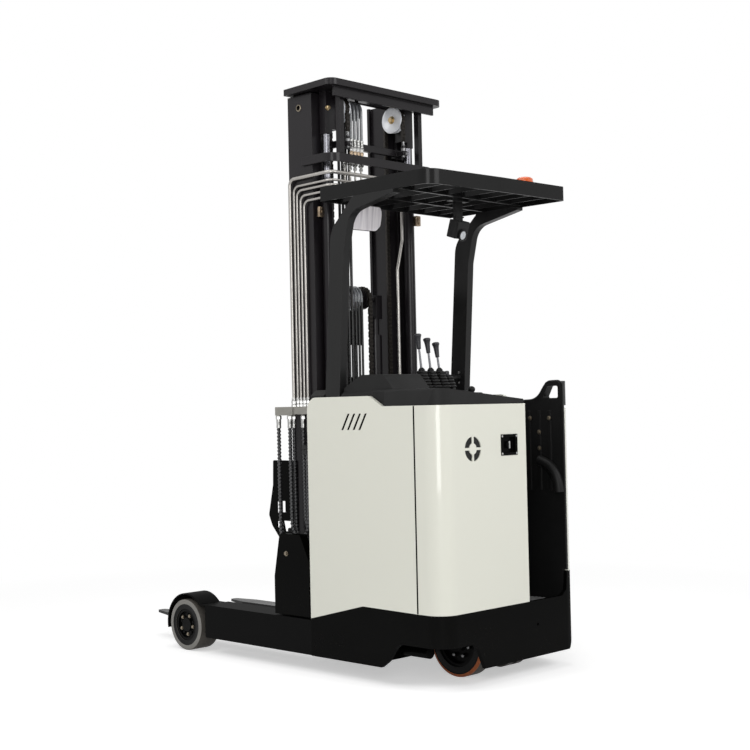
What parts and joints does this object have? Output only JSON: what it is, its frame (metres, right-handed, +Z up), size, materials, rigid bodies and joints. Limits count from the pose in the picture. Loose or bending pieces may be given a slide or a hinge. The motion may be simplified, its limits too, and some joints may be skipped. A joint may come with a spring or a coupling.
{
  "type": "reach truck",
  "caption": "Stand-on reach truck with a three-stage mast that slides along two legs, overhead guard and narrow operator place at the rear.",
  "frame": {"origin": "middle of the overall length and width, on the ground", "axes": "+X forward to the fork tips, +Y to the operator's left, +Z up"},
  "size_m": [2.253, 0.93, 2.72],
  "materials": {
    "cream_paint": "gloss",
    "black_paint": "satin",
    "mast_paint": "satin",
    "console_plastic": "fine grain",
    "wall_plastic": "satin",
    "floor_rubber": "ribbed",
    "battery_block": "dull",
    "drive_tyre_rubber": "used",
    "load_tyre_rubber": "smooth",
    "hub_iron": "painted",
    "rod_chrome": "polished",
    "pipe_steel": "zinc plated",
    "chain_steel": "oiled",
    "hose_rubber": "matt",
    "sheave_white": "smooth",
    "lamp_orange": "clear",
    "lamp_black": "satin",
    "mirror_shell": "satin",
    "grey_zinc": "dull"
  },
  "bodies": {
    "chassis": {"base_skirt": "black_paint", "chassis_frame": "black_paint", "battery": "battery_block", "rear_panel_left": "cream_paint", "rear_panel_right": "cream_paint", "emergency_switch": "lamp_black", "floor_mat": "floor_rubber", "compartment_liner": "wall_plastic", "right_wall": "wall_plastic", "console_cover": "console_plastic", "levers": "lamp_black", "overhead_guard": "black_paint", "beacon": "lamp_orange", "work_light": "lamp_black", "mirror": "mirror_shell", "side_panel_left": "cream_paint", "side_panel_right": "cream_paint", "guard_post_left": "black_paint", "guard_post_right": "black_paint", "leg_left": "black_paint", "leg_right": "black_paint", "wheel_fender_left": "black_paint", "wheel_fender_right": "black_paint"},
    "steering_wheel": {"steering_wheel": "lamp_black"},
    "drive_unit": {"drive_unit": "hub_iron"},
    "drive_wheel": {"drive_tyre": "drive_tyre_rubber", "drive_hub": "hub_iron"},
    "caster": {"caster_fork": "hub_iron"},
    "caster_wheels": {"caster_wheels": "drive_tyre_rubber"},
    "load_wheel_left": {"load_tyre_left": "load_tyre_rubber", "load_hub_left": "hub_iron"},
    "load_wheel_right": {"load_tyre_right": "load_tyre_rubber", "load_hub_right": "hub_iron"},
    "reach_carriage": {"reach_carriage": "black_paint", "outer_mast": "mast_paint", "anchor_beam": "mast_paint", "mast_bar": "mast_paint", "lift_barrels": "mast_paint", "steel_pipes": "pipe_steel", "manifold": "grey_zinc", "hanging_hoses": "hose_rubber", "hose_guide": "wall_plastic"},
    "middle_mast": {"middle_mast": "mast_paint", "top_crosshead": "mast_paint", "lift_rods": "rod_chrome", "chain_sheaves": "sheave_white", "lift_chains": "chain_steel", "top_hoses": "hose_rubber"},
    "inner_mast": {"inner_mast": "mast_paint", "free_lift_barrels": "mast_paint"},
    "free_lift_head": {"free_lift_head": "mast_paint", "free_lift_chains": "chain_steel", "head_hoses": "hose_rubber"},
    "fork_carriage": {"fork_carriage": "mast_paint"},
    "tilt_frame": {"tilt_frame": "black_paint", "fork_left": "black_paint", "fork_right": "black_paint"}
  },
  "joints": [
    {"name": "steering", "type": "hinge", "parent": "chassis", "child": "drive_unit", "pos_m": [-0.89, 0.083, 0.32], "axis": [0, 0, 1], "range_deg": [-90, 90]},
    {"name": "drive_wheel_spin", "type": "hinge", "parent": "drive_unit", "child": "drive_wheel", "pos_m": [-0.89, 0.083, 0.15], "axis": [0, 1, 0], "continuous": true},
    {"name": "steering_wheel_turn", "type": "hinge", "parent": "chassis", "child": "steering_wheel", "pos_m": [-0.625, -0.275, 1.25], "axis": [0, 0, 1], "range_deg": [-360, 360]},
    {"name": "caster_swivel", "type": "hinge", "parent": "chassis", "child": "caster", "pos_m": [-0.92, -0.225, 0.27], "axis": [0, 0, 1], "continuous": true},
    {"name": "caster_wheel_spin", "type": "hinge", "parent": "caster", "child": "caster_wheels", "pos_m": [-0.882, -0.225, 0.085], "axis": [0, 1, 0], "continuous": true},
    {"name": "load_wheel_left_spin", "type": "hinge", "parent": "chassis", "child": "load_wheel_left", "pos_m": [0.624, 0.406, 0.127], "axis": [0, 1, 0], "continuous": true},
    {"name": "load_wheel_right_spin", "type": "hinge", "parent": "chassis", "child": "load_wheel_right", "pos_m": [0.624, -0.406, 0.127], "axis": [0, 1, 0], "continuous": true},
    {"name": "reach", "type": "slide", "parent": "chassis", "child": "reach_carriage", "axis": [1, 0, 0], "range_m": [0, 0.5]},
    {"name": "mast_lift", "type": "slide", "parent": "reach_carriage", "child": "middle_mast", "axis": [0, 0, 1], "range_m": [0, 1.8]},
    {"name": "inner_mast_lift", "type": "slide", "parent": "middle_mast", "child": "inner_mast", "axis": [0, 0, 1], "range_m": [0, 1.8]},
    {"name": "carriage_lift", "type": "slide", "parent": "inner_mast", "child": "fork_carriage", "axis": [0, 0, 1], "range_m": [-0.02, 1.64]},
    {"name": "free_lift_head_lift", "type": "slide", "parent": "inner_mast", "child": "free_lift_head", "axis": [0, 0, 1], "range_m": [-0.01, 0.82]},
    {"name": "fork_tilt", "type": "hinge", "parent": "fork_carriage", "child": "tilt_frame", "pos_m": [-0.069, 0, 0.6], "axis": [0, -1, 0], "range_deg": [-2, 4]}
  ],
  "couplings": [
    {"joint": "steering_wheel_turn", "follows": "steering", "ratio": 4},
    {"joint": "inner_mast_lift", "follows": "mast_lift", "ratio": 1},
    {"joint": "free_lift_head_lift", "follows": "carriage_lift", "ratio": 0.5}
  ]
}
